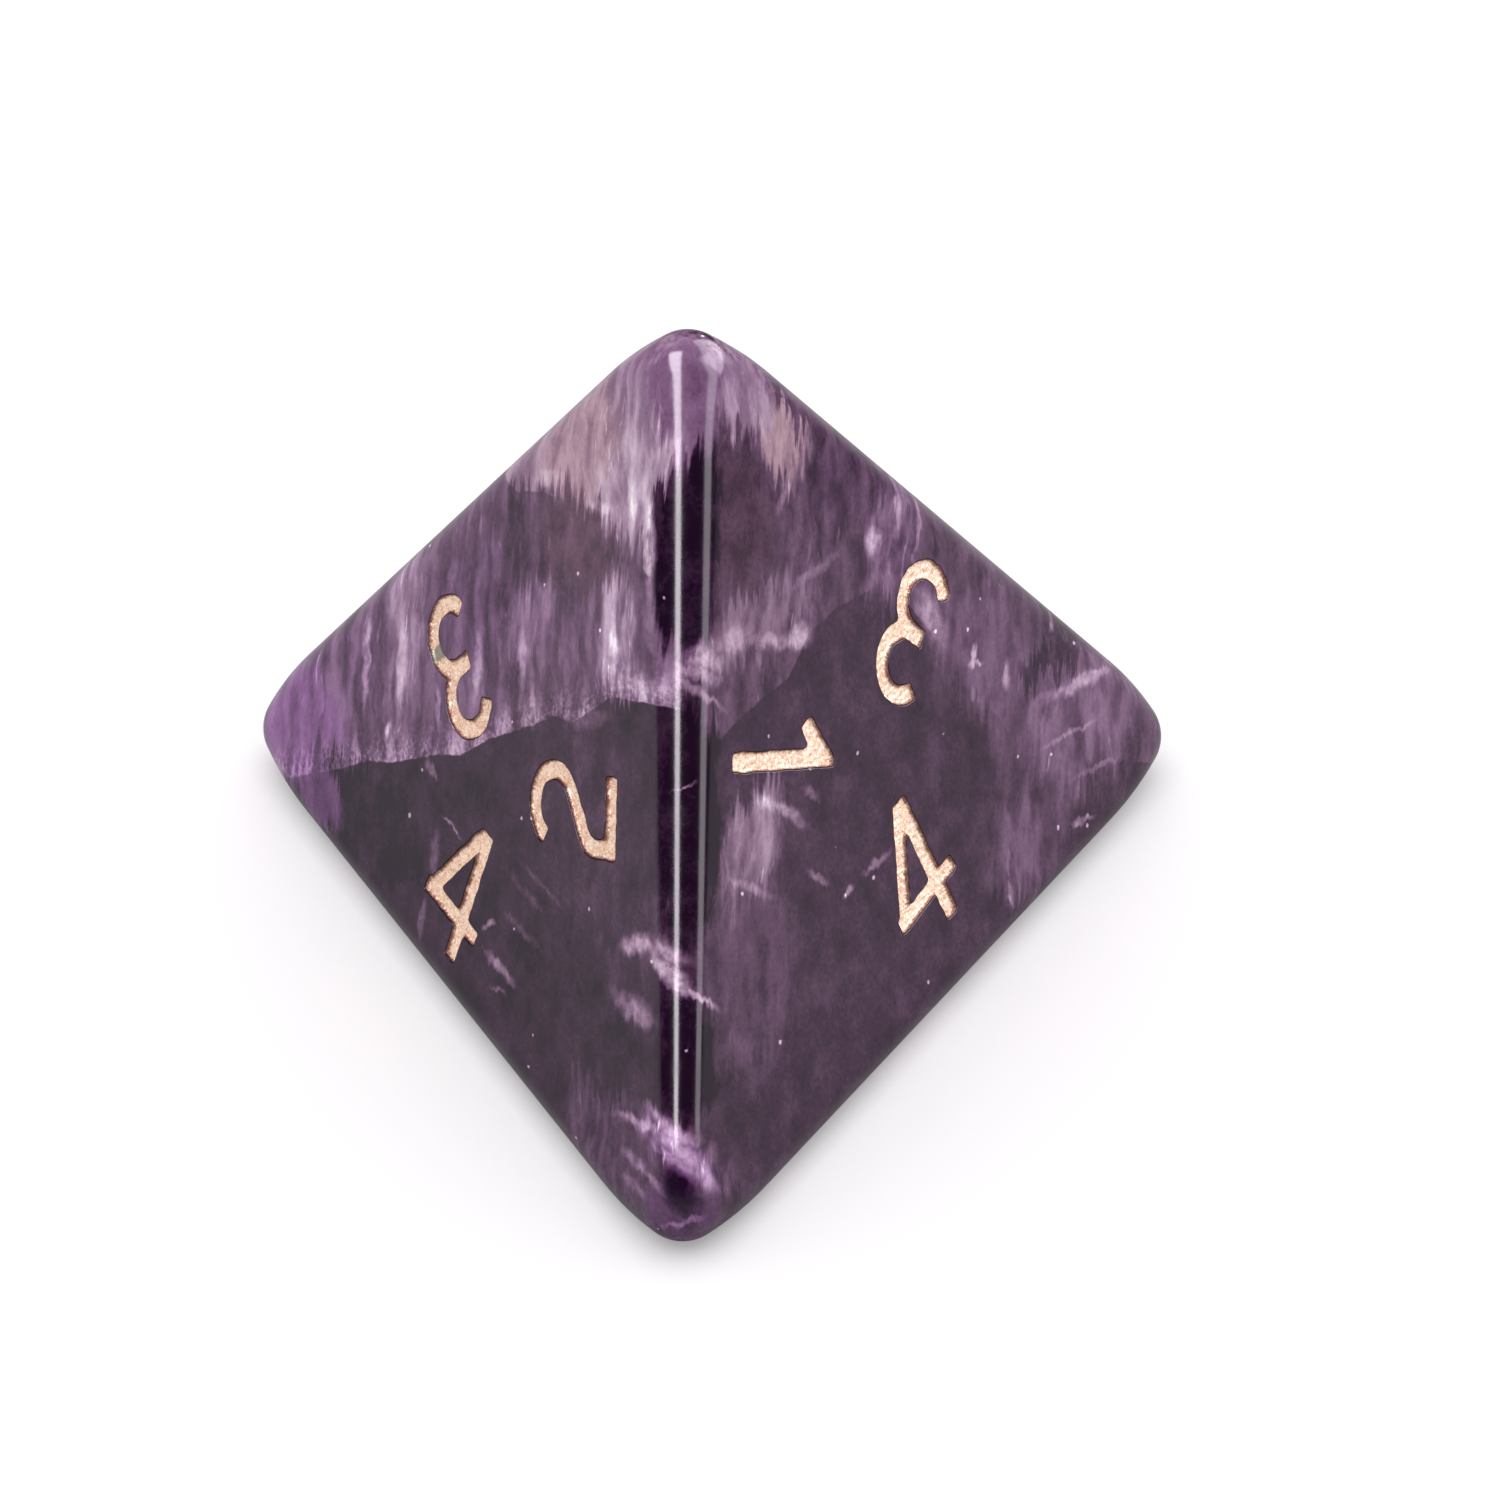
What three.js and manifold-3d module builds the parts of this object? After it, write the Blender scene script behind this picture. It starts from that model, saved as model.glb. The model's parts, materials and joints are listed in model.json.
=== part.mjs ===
// A tetrahedral gaming die of polished stone: a regular tetrahedron with softened
// edges and rounder corners, three numerals engraved on each face, and a metallic
// paint fill set in every numeral. Millimetres, +Z up, standing on face 4 with the
// origin at the middle of that face. The front corner points along -Y.
import * as THREE from "three";
import { mergeVertices } from "three/addons/utils/BufferGeometryUtils.js";
import Module from "manifold-3d";

// Stone
const sharpEdge = 23.0; // edge of the tetrahedron before any rounding
const edgeRadius = 0.78; // polished radius along the six edges
const cornerRadius = 1.02; // of the ball that each corner is polished to
const cornerFade = 1.8; // length over which the corner's radius fades into the edge's
const fadeSteps = 5; // facets along that length
const arcSteps = 8; // facets round an edge, from face to face

// Numerals: stroke width and size of the figures, and the engraving
const stroke = 0.45;
const figureHeight = 3.4;
const grooveDepth = 0.4;
const fillClearance = 0.02; // between the paint fill and the groove's walls and floor
const fillRecess = 0.05; // fill surface below the polished face
const arcSegments = 9; // facets along a half turn of a curved stroke

// Which corners each numbered face has
const faceCorners = {
  1: ["apex", "front", "left"],
  2: ["apex", "right", "front"],
  3: ["apex", "left", "right"],
  4: ["front", "right", "left"],
};

// Each numeral names the face across the edge that it stands on. Its place is the
// middle of the figure from the face's centre, x along the edge and y up from it,
// and its tilt in degrees: the figures are cut by hand and wander a little.
const placements = [
  { face: 1, numeral: 2, x: -0.71, y: -2.22, tilt: -1.5 },
  { face: 1, numeral: 3, x: 1.12, y: -3.01, tilt: 0.5 },
  { face: 1, numeral: 4, x: -0.72, y: -3.64, tilt: 0.5 },
  { face: 2, numeral: 1, x: -0.8, y: -2.98, tilt: -2.0 },
  { face: 2, numeral: 3, x: 0.07, y: -3.39, tilt: 0.0 },
  { face: 2, numeral: 4, x: 0.4, y: -2.91, tilt: 6.2 },
  { face: 3, numeral: 1, x: 0.2, y: -2.95, tilt: 1.5 },
  { face: 3, numeral: 2, x: -0.35, y: -3.1, tilt: -2.0 },
  { face: 3, numeral: 4, x: 0.1, y: -3.2, tilt: 1.0 },
  { face: 4, numeral: 1, x: -0.15, y: -3.05, tilt: -1.0 },
  { face: 4, numeral: 2, x: 0.3, y: -2.9, tilt: 2.0 },
  { face: 4, numeral: 3, x: -0.1, y: -3.1, tilt: 0.0 },
];

const amethyst = new THREE.MeshStandardMaterial({ color: 0x5d4a63, roughness: 0.12, metalness: 0.0 });
const rosePaint = new THREE.MeshStandardMaterial({ color: 0xe8bf98, roughness: 0.4, metalness: 0.6 });

const wasm = await Module();
wasm.setup();

// ---- The tetrahedron's corners, edges and faces ----------------------------------

const sharpHeight = sharpEdge * Math.sqrt(2 / 3);
const footRadius = sharpEdge / Math.sqrt(3); // circle through the corners of the resting face
const inradius = sharpHeight / 4; // from the body's centre to each face
const footCorner = (degrees) => {
  const angle = THREE.MathUtils.degToRad(degrees);
  return new THREE.Vector3(footRadius * Math.cos(angle), footRadius * Math.sin(angle), 0);
};
const corners = {
  apex: new THREE.Vector3(0, 0, sharpHeight),
  front: footCorner(-90),
  left: footCorner(150),
  right: footCorner(30),
};
const cornerNames = Object.keys(corners);
const bodyCentre = new THREE.Vector3(0, 0, inradius);
// Distance from an edge's line to the centre of a unit ball that touches both its faces
const bisectorReach = Math.sqrt(3);
// Distance from a sharp corner, along the edge, to the corner's ball
const cornerStart = Math.sqrt(6) * cornerRadius;

const faceCentre = (face) =>
  faceCorners[face].reduce((sum, name) => sum.add(corners[name]), new THREE.Vector3()).divideScalar(3);
const faceNormal = (face) => faceCentre(face).sub(bodyCentre).normalize();
const facesAtEdge = (a, b) =>
  Object.keys(faceCorners).filter((face) => faceCorners[face].includes(a) && faceCorners[face].includes(b));

// Radius of the rounded edge at a distance from the nearer sharp corner, and how fast
// it changes. It is the corner's own radius where the corner's ball sits, and eases
// to the edge radius.
function radiusAt(distance) {
  const left = Math.max(0, 1 - (distance - cornerStart) / cornerFade);
  const extra = cornerRadius - edgeRadius;
  return { radius: edgeRadius + extra * left * left, slope: (-2 * extra * left) / cornerFade };
}

// The line of contact that a ball of changing radius leaves as it rolls along an
// edge: an arc from one face to the other, at a distance from corner a.
function edgeArc(a, b, distance) {
  const along = corners[b].clone().sub(corners[a]).normalize();
  const middle = corners[a].clone().add(corners[b]).multiplyScalar(0.5);
  const inward = bodyCentre.clone().sub(middle).normalize();
  const { radius, slope } = radiusAt(Math.min(distance, sharpEdge - distance));
  const change = distance < sharpEdge / 2 ? slope : -slope;
  const centre = corners[a].clone().addScaledVector(along, distance);
  centre.addScaledVector(inward, bisectorReach * radius);
  const track = along.clone().addScaledVector(inward, bisectorReach * change);
  const speed = track.length();
  const axis = track.divideScalar(speed);
  const sine = -change / speed; // the arc leans towards the wider end
  const cosine = Math.sqrt(1 - sine * sine);
  const outward = inward.clone().negate();
  outward.addScaledVector(axis, -outward.dot(axis)).normalize();
  const sideways = new THREE.Vector3().crossVectors(axis, outward);
  const [first, second] = facesAtEdge(a, b);
  const angleTo = (face) => {
    const normal = faceNormal(face);
    return Math.atan2(normal.dot(sideways), normal.dot(outward));
  };
  const from = angleTo(first);
  const to = angleTo(second);
  const points = [];
  for (let i = 0; i <= arcSteps; i += 1) {
    const angle = from + ((to - from) * i) / arcSteps;
    const direction = outward.clone().multiplyScalar(cosine * Math.cos(angle));
    direction.addScaledVector(sideways, cosine * Math.sin(angle)).addScaledVector(axis, sine);
    points.push(centre.clone().addScaledVector(direction, radius));
  }
  return { points, faces: [first, second], centre };
}

// All the arcs of one edge, from corner a to corner b
function edgeBand(a, b) {
  const fromCorner = [];
  for (let i = 0; i <= fadeSteps; i += 1) fromCorner.push(cornerStart + (cornerFade * i) / fadeSteps);
  const distances = [...fromCorner, ...fromCorner.map((distance) => sharpEdge - distance).reverse()];
  return distances.map((distance) => edgeArc(a, b, distance));
}

// ---- The polished stone before engraving -----------------------------------------

function roundedTetrahedron() {
  const positions = [];
  const addTriangle = (a, b, c) => {
    const normal = b.clone().sub(a).cross(c.clone().sub(a));
    const facesOut = normal.dot(a.clone().sub(bodyCentre)) > 0;
    for (const point of facesOut ? [a, b, c] : [a, c, b]) positions.push(point.x, point.y, point.z);
  };
  const bands = {};
  cornerNames.forEach((a, i) =>
    cornerNames.slice(i + 1).forEach((b) => {
      bands[`${a} ${b}`] = edgeBand(a, b);
    }),
  );
  // Rounded edges
  for (const band of Object.values(bands)) {
    for (let i = 0; i + 1 < band.length; i += 1) {
      for (let j = 0; j < arcSteps; j += 1) {
        const [p, q] = [band[i].points, band[i + 1].points];
        addTriangle(p[j], q[j], q[j + 1]);
        addTriangle(p[j], q[j + 1], p[j + 1]);
      }
    }
  }
  // Ball corners: rows of points between two end arcs, closing on the third
  for (const corner of cornerNames) {
    const ends = Object.entries(bands)
      .filter(([key]) => key.split(" ").includes(corner))
      .map(([key, band]) => (key.startsWith(corner) ? band[0] : band[band.length - 1]));
    const arcBetween = (first, second) => {
      const end = ends.find(({ faces }) => faces.includes(first) && faces.includes(second));
      return end.faces[0] === first ? end.points : [...end.points].reverse();
    };
    const [f0, f1, f2] = Object.keys(faceCorners).filter((face) => faceCorners[face].includes(corner));
    const leftArc = arcBetween(f0, f1);
    const rightArc = arcBetween(f0, f2);
    const lastArc = arcBetween(f1, f2);
    const { centre } = ends[0];
    const onBall = (point) => point.sub(centre).setLength(cornerRadius).add(centre);
    const rows = leftArc.map((left, m) => {
      const row = [left];
      for (let n = 1; n < m; n += 1) {
        const chord = left.clone().lerp(rightArc[m], n / m);
        const closing = lastArc[n].clone().sub(lastArc[0].clone().lerp(lastArc[arcSteps], n / arcSteps));
        row.push(onBall(chord.addScaledVector(closing, (m / arcSteps) ** 3)));
      }
      if (m > 0) row.push(rightArc[m]);
      return row;
    });
    rows[arcSteps] = lastArc;
    for (let m = 0; m < arcSteps; m += 1) {
      for (let n = 0; n <= m; n += 1) {
        addTriangle(rows[m][n], rows[m + 1][n], rows[m + 1][n + 1]);
        if (n < m) addTriangle(rows[m][n], rows[m + 1][n + 1], rows[m][n + 1]);
      }
    }
  }
  // Flat faces, fanned from their centres to the ends of the arcs
  for (const face of Object.keys(faceCorners)) {
    const centre = faceCentre(face);
    const rim = Object.values(bands)
      .filter((band) => band[0].faces.includes(face))
      .map((band) => band.map((arc) => arc.points[arc.faces[0] === face ? 0 : arcSteps]));
    for (const side of rim) {
      for (let i = 0; i + 1 < side.length; i += 1) addTriangle(centre, side[i], side[i + 1]);
    }
  }
  const geometry = new THREE.BufferGeometry();
  geometry.setAttribute("position", new THREE.Float32BufferAttribute(positions, 3));
  return geometry;
}

// ---- Solids ----------------------------------------------------------------------

function toSolid(geometry) {
  const bare = geometry.clone();
  bare.deleteAttribute("normal");
  bare.deleteAttribute("uv");
  const merged = mergeVertices(bare, 1e-5);
  const vertProperties = new Float32Array(merged.attributes.position.array);
  const triVerts = new Uint32Array(merged.index.array);
  return new wasm.Manifold(new wasm.Mesh({ numProp: 3, vertProperties, triVerts }));
}

function toGeometry(solid) {
  const { vertProperties, triVerts } = solid.getMesh();
  const geometry = new THREE.BufferGeometry();
  geometry.setAttribute("position", new THREE.BufferAttribute(vertProperties, 3));
  geometry.setIndex(new THREE.BufferAttribute(triVerts, 1));
  const faceted = geometry.toNonIndexed();
  faceted.computeVertexNormals();
  return faceted;
}

// ---- Figures: outlines about the middle of each figure ----------------------------

// Moves every side of a closed outline inwards, keeping its corners mitred. Outlines
// run anticlockwise.
function insetOutline(points, inset) {
  return points.map((point, i) => {
    const before = points[(i + points.length - 1) % points.length];
    const after = points[(i + 1) % points.length];
    const sideIn = (a, b) => new THREE.Vector2(a.y - b.y, b.x - a.x).normalize();
    const first = sideIn(before, point);
    const second = sideIn(point, after);
    const mitre = first.clone().add(second);
    return point.clone().addScaledVector(mitre, (2 * inset) / mitre.lengthSq());
  });
}

// The outline of a line of constant width with square ends, along a path of
// straight and round stretches
function strokeOutline(path, width = stroke) {
  const line = path.getPoints(arcSegments).filter((p, i, all) => i === 0 || p.distanceTo(all[i - 1]) > 1e-6);
  const side = (half) =>
    line.map((point, i) => {
      const heading = (a, b) => line[b].clone().sub(line[a]).normalize();
      const last = line.length - 1;
      const first = heading(Math.max(i - 1, 0), Math.max(i, 1));
      const second = heading(Math.min(i, last - 1), Math.min(i + 1, last));
      const mitre = first.clone().add(second);
      const across = new THREE.Vector2(-mitre.y, mitre.x);
      return point.clone().addScaledVector(across, (2 * half) / mitre.lengthSq());
    });
  return [...side(-width / 2), ...side(width / 2).reverse()];
}

const straight = (...points) => new THREE.Path(points.map(([x, y]) => new THREE.Vector2(x, y)));
const top = figureHeight / 2;
const half = stroke / 2;
const degrees = THREE.MathUtils.degToRad;

// One: a stem with a short wedge of a flag
function oneOutlines() {
  const stemX = 0.32;
  const flagTip = -0.6;
  return [
    [
      [stemX - half, -top - 0.12],
      [stemX + half + 0.03, -top - 0.12],
      [stemX + half, top + 0.12],
      [stemX, top + 0.12],
      [flagTip, top - 0.72],
      [flagTip + 0.03, top - 0.86],
      [flagTip + 0.24, top - 1.1],
      [stemX - half - 0.06, top - 0.84],
      [stemX - half, top - 0.98],
    ].map(([x, y]) => new THREE.Vector2(x, y)),
  ];
}

// Two: a round head, a slanted run into a small bend, and a flat foot
function twoOutlines() {
  const headRadius = 0.785;
  const bendRadius = 0.6;
  const headY = top - headRadius - half + 0.07;
  const footY = -top + half - 0.07;
  const bendX = -0.78;
  const path = new THREE.Path();
  path.absarc(0, headY, headRadius, degrees(155), degrees(-58), true);
  path.absarc(bendX + bendRadius, footY + 0.6, bendRadius, degrees(122), degrees(180), false);
  path.lineTo(bendX, footY);
  path.lineTo(0.88, footY);
  return [strokeOutline(path, stroke)];
}

// Three: two equal bowls on a short middle bar
function threeOutlines() {
  const bowlRadius = (figureHeight - stroke) / 4;
  const upper = new THREE.Path();
  upper.absarc(0, bowlRadius, bowlRadius, degrees(152), degrees(-90), true);
  upper.lineTo(-0.42, 0);
  const lower = new THREE.Path();
  lower.absarc(0, -bowlRadius, bowlRadius, degrees(90), degrees(-152), true);
  return [strokeOutline(upper, stroke), strokeOutline(lower, stroke)];
}

// Four: a stem crossed by a bar, and a slope from the stem's head to the bar's end
function fourOutlines() {
  const stemX = 0.46;
  const barY = -0.69;
  const barEnd = 1.18;
  return [
    strokeOutline(straight([stemX, top - 0.04], [stemX, -top + 0.04])),
    strokeOutline(straight([-barEnd, barY], [barEnd, barY]), stroke * 0.93),
    strokeOutline(straight([0.36, top - 0.1], [-0.99, barY - 0.08]), stroke * 0.93),
  ];
}

const figures = { 1: oneOutlines(), 2: twoOutlines(), 3: threeOutlines(), 4: fourOutlines() };

// A figure as a solid slab between two heights, its outlines joined into one
function figureSolid(numeral, inset, low, high) {
  return figures[numeral]
    .map((outline) => {
      const shape = new THREE.Shape(insetOutline(outline, inset));
      const slab = new THREE.ExtrudeGeometry(shape, { depth: high - low, bevelEnabled: false, steps: 1 });
      return toSolid(slab.translate(0, 0, low));
    })
    .reduce((joined, solid) => joined.add(solid));
}

// Takes a figure drawn in its own plane to its place on a face: x runs along the
// edge it stands on, y up the face, z out of the stone
function figurePlace({ face, numeral, x, y, tilt }) {
  const foot = faceCorners[face].filter((name) => faceCorners[numeral].includes(name));
  const opposite = faceCorners[face].find((name) => !foot.includes(name));
  const centre = faceCentre(face);
  const out = faceNormal(face);
  const up = corners[opposite].clone().sub(centre).normalize();
  const right = new THREE.Vector3().crossVectors(up, out);
  const place = new THREE.Matrix4().makeBasis(right, up, out).setPosition(centre);
  place.multiply(new THREE.Matrix4().makeTranslation(x, y, 0));
  return place.multiply(new THREE.Matrix4().makeRotationZ(degrees(tilt)));
}

// ---- Assembly --------------------------------------------------------------------

const die = new THREE.Group();
const cutHeight = 0.5; // how far the engraving cutter stands proud of the face
let stone = toSolid(roundedTetrahedron());
for (const placement of placements) {
  const place = figurePlace(placement);
  const cutter = figureSolid(placement.numeral, 0, -grooveDepth, cutHeight);
  stone = stone.subtract(cutter.transform(place.elements));
  const low = -grooveDepth + fillClearance;
  const fill = toGeometry(figureSolid(placement.numeral, fillClearance, low, -fillRecess));
  const paint = new THREE.Mesh(fill, rosePaint);
  paint.name = `paint_face${placement.face}_numeral${placement.numeral}`;
  paint.applyMatrix4(place);
  die.add(paint);
}
const stoneBody = new THREE.Mesh(toGeometry(stone), amethyst);
stoneBody.name = "stone_body";
die.add(stoneBody);

export default die;
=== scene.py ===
"""A tetrahedral gaming die cut from banded amethyst and polished, with three engraved
numerals on each face and rose-gold paint in every numeral.

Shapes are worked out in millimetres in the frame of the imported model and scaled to
metres when a mesh is made. Faces, corners and numeral outlines come from the frame;
this script adds the fine rounding, the lips of the engraving, the paint's surface,
and the materials, lights and camera.
"""
import json
import math

import bpy
import numpy as np
from mathutils import Matrix, Vector
from mathutils.geometry import delaunay_2d_cdt


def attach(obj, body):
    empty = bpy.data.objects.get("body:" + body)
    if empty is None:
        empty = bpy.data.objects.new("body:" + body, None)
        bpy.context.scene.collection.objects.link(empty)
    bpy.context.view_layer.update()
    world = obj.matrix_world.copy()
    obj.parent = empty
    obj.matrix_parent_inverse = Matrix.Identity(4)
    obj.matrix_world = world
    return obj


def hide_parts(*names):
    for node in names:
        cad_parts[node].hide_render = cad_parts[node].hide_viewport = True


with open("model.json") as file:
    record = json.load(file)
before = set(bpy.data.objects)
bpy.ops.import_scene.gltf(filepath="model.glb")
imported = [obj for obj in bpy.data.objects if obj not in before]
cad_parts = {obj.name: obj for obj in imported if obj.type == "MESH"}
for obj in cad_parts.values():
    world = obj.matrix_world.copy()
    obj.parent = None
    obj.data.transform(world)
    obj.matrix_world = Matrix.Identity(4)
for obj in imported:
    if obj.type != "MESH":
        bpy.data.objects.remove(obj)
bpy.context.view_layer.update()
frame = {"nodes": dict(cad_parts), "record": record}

MM = 0.001

# ---- Driving dimensions, in millimetres ----

EDGE_RADIUS = 0.78  # polished radius along the six edges
FRONT_EDGE_RADII = (0.56, 0.93)  # of the front edge, at its foot and at the apex
CORNER_RADIUS = 1.02  # of the ball that each corner is polished to
CORNER_FADE = 1.8  # length over which the corner's radius fades into the edge's
FADE_STEPS = 14
ARC_STEPS = 28  # facets round an edge, from face to face

GRID = 0.02  # spacing of the field that numeral outlines are traced in
FIELD_MARGIN = 0.35  # how far the field reaches beyond the numeral
OUTLINE_STEP = 0.036  # spacing of points along a traced outline
OUTLINE_BLUR = 0.042  # rounds the outline's corners as a small cutter would
OUTLINE_WOBBLE = 0.009  # unsteadiness of the cut
WOBBLE_LENGTH = 0.07  # scale of that unsteadiness along the cut
FILL_INSET = 0.02  # how far the frame's fills stand inside their grooves
GROOVE_DEPTH = 0.4
LIP = 0.018  # rounding of the groove's rim
LIP_STEPS = 4

PAINT_GAP = 0.016  # between paint and groove walls
PAINT_RIM = -0.012  # height of the paint where it wets the wall
PAINT_SAG = 0.075  # how far the middle of a stroke lies below the rim
PAINT_WIDTH = 0.12  # distance from the wall over which the paint sags
PAINT_BOTTOM = -0.38
PAINT_GRID = 0.034  # spacing of points on the paint's surface
GRID_JITTER = 0.18  # share of that spacing by which points are moved at random
GRID_CLEARANCE = 0.022  # between the paint's grid and the groove's wall
RIPPLES = 10  # waves that add up to the paint's ripple
RIPPLE_LENGTHS = (0.09, 0.22)
RIPPLE_HEIGHT = 0.0028  # of each wave
GRAIN_HEIGHT = 0.0028
RIPPLE_FADE = 0.05  # distance from the wall over which ripple and grain set in

# Points in the same cell of the joining grid become one. The shift keeps round
# coordinates away from the cells' limits.
CELLS_PER_MM = 1e3
CELL_SHIFT = 0.137


# ---- The tetrahedron, from the frame's mounts ----


def read_faces():
    """Outward normal and plane offset of each numbered face, in millimetres."""
    mounts = {mount["name"]: mount for mount in frame["record"]["mounts"]}
    faces = {}
    for number in (1, 2, 3, 4):
        mount = mounts[f"face_{number}"]
        normal = np.array(mount["axis"], float)
        normal /= np.linalg.norm(normal)
        point = np.array(mount["pos_m"], float) / MM
        faces[number] = (normal, float(normal @ point))
    return faces


FACES = read_faces()


def opposite_corner(face):
    """The sharp corner where the other three faces meet."""
    others = [FACES[number] for number in FACES if number != face]
    return np.linalg.solve([normal for normal, _ in others], [offset for _, offset in others])


# Corners are named by the face opposite to them
CORNERS = {face: opposite_corner(face) for face in FACES}
CENTRE = sum(CORNERS.values()) / 4
APEX, FRONT = CORNERS[4], CORNERS[3]
FRONT_EDGE = (3, 4)  # from the front corner up to the apex
SHARP_EDGE = float(np.linalg.norm(APEX - FRONT))
BISECTOR_REACH = math.sqrt(3)  # edge line to the centre of a unit ball touching both faces
CORNER_START = math.sqrt(6) * CORNER_RADIUS  # sharp corner to the corner's ball, along an edge


def unit(vector):
    return vector / np.linalg.norm(vector)


def face_axes(face):
    """Centre of a face with its own axes: right, up towards the corner farthest from
    face 4 (for face 4, towards the front corner), and out of the stone."""
    centre = sum(CORNERS[other] for other in CORNERS if other != face) / 3
    out = FACES[face][0]
    target = FRONT if face == 4 else APEX
    up = unit(target - centre)
    return centre, np.cross(up, out), up, out


AXES = {face: face_axes(face) for face in FACES}


def flattened(points, face):
    """Points in a face's own axes, right and up from its centre."""
    centre, right, up, _ = AXES[face]
    return np.stack([(points - centre) @ right, (points - centre) @ up], -1)


def radius_at(a, b, distance):
    """Radius of the rounded edge a-b at a distance from corner a, and its slope."""
    low, high = FRONT_EDGE_RADII if (a, b) == FRONT_EDGE else (EDGE_RADIUS, EDGE_RADIUS)
    slope = (high - low) / SHARP_EDGE
    radius = low + slope * distance
    near = min(distance, SHARP_EDGE - distance)
    left = max(0.0, 1 - (near - CORNER_START) / CORNER_FADE)
    towards_b = 1 if distance < SHARP_EDGE / 2 else -1
    fade_slope = -2 * left / CORNER_FADE * towards_b
    blended = radius + (CORNER_RADIUS - radius) * left * left
    return blended, slope * (1 - left * left) + (CORNER_RADIUS - radius) * fade_slope


def edge_arc(a, b, distance):
    """The arc that a ball of changing radius leaves as it rolls along edge a-b: its
    points and normals from one face to the other, and the ball's centre and radius."""
    along = unit(CORNERS[b] - CORNERS[a])
    inward = unit(CENTRE - (CORNERS[a] + CORNERS[b]) / 2)
    radius, change = radius_at(a, b, distance)
    centre = CORNERS[a] + along * distance + inward * BISECTOR_REACH * radius
    track = along + inward * BISECTOR_REACH * change
    speed = np.linalg.norm(track)
    axis = track / speed
    sine = -change / speed  # the arc leans towards the wider end
    cosine = math.sqrt(1 - sine * sine)
    outward = unit(-inward + axis * (inward @ axis))
    sideways = np.cross(axis, outward)
    first, second = [face for face in FACES if face not in (a, b)]
    limits = [math.atan2(FACES[f][0] @ sideways, FACES[f][0] @ outward) for f in (first, second)]
    angles = np.linspace(limits[0], limits[1], ARC_STEPS + 1)[:, None]
    normals = cosine * (np.cos(angles) * outward + np.sin(angles) * sideways) + sine * axis
    points = centre + radius * normals
    arc = {"points": points, "normals": normals, "faces": (first, second)}
    return {**arc, "centre": centre, "radius": radius}


def edge_band(a, b):
    """The arcs of an edge, from corner a to corner b, closest where the radius fades."""
    near = [CORNER_START + CORNER_FADE * step / FADE_STEPS for step in range(FADE_STEPS + 1)]
    middle = list(np.linspace(near[-1], SHARP_EDGE - near[-1], FADE_STEPS)[1:-1])
    far = [SHARP_EDGE - distance for distance in reversed(near)]
    return [edge_arc(a, b, distance) for distance in near + middle + far]


# ---- Mesh making ----


class Builder:
    """Collects triangles with a normal at each point, then joins points that meet."""

    def __init__(self):
        self.points, self.normals, self.triangles = [], [], []
        self.count = 0

    def add(self, points, normals, triangles):
        self.points.append(np.asarray(points, float))
        self.normals.append(np.asarray(normals, float))
        self.triangles.append(np.asarray(triangles, int).reshape(-1, 3) + self.count)
        self.count += len(points)

    def joined(self):
        points = np.concatenate(self.points)
        normals = np.concatenate(self.normals)
        triangles = np.concatenate(self.triangles)
        cells = np.round(points * CELLS_PER_MM + CELL_SHIFT)
        _, first, where = np.unique(cells, axis=0, return_index=True, return_inverse=True)
        triangles = where.reshape(-1)[triangles]
        solid = (triangles[:, 0] != triangles[:, 1]) & (triangles[:, 1] != triangles[:, 2])
        solid &= triangles[:, 2] != triangles[:, 0]
        return points[first], normals[first], triangles[solid]


def strip(rows, columns, closed=False):
    """Triangles of a grid of points laid out row by row."""
    found = []
    wide = columns if closed else columns - 1
    for i in range(rows - 1):
        for j in range(wide):
            a, b = i * columns + j, i * columns + (j + 1) % columns
            c, d = a + columns, b + columns
            found += [(a, b, d), (a, d, c)]
    return found


def facing(points, normals, triangles):
    """Turns triangles so that they face the way their points' normals do."""
    triangles = np.asarray(triangles)
    a, b, c = (points[triangles[:, k]] for k in range(3))
    wrong = (np.cross(b - a, c - a) * normals[triangles].sum(1)).sum(1) < 0
    triangles[wrong] = triangles[wrong][:, ::-1]
    return triangles


def enclosed(places, loops):
    """Whether points lie inside an odd number of closed loops."""
    odd = np.zeros(len(places), bool)
    for loop in loops:
        x, y = places[:, :1], places[:, 1:]
        (x0, y0), (x1, y1) = loop.T, np.roll(loop, -1, axis=0).T
        spans = (y0 > y) != (y1 > y)
        rise = np.where(y1 == y0, 1.0, y1 - y0)
        odd ^= (spans & (x < x0 + (y - y0) * (x1 - x0) / rise)).sum(1) % 2 == 1
    return odd


def triangulate(outlines, inner=()):
    """Triangles filling the space between closed outlines (arrays of 2-D points), with
    extra inner points. Points keep their order of input."""
    flat = np.concatenate([*outlines, *([inner] if len(inner) else [])])
    edges, start = [], 0
    for outline in outlines:
        count = len(outline)
        edges += [(start + i, start + (i + 1) % count) for i in range(count)]
        start += count
    points = [Vector((float(x), float(y))) for x, y in flat]
    _, _, made, origins, _, _ = delaunay_2d_cdt(points, edges, [], 1, 1e-7)
    origin = [ids[0] for ids in origins]
    triangles = np.array([[origin[i] for i in triangle] for triangle in made])
    middles = flat[triangles].mean(1)
    a, b, c = (flat[triangles[:, k]] for k in range(3))
    area = (b - a)[:, 0] * (c - a)[:, 1] - (b - a)[:, 1] * (c - a)[:, 0]
    triangles[area < 0] = triangles[area < 0][:, ::-1]
    return triangles[enclosed(middles, outlines) & (np.abs(area) > 1e-12)]


# ---- Numeral outlines, traced round the frame's paint fills ----


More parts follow.
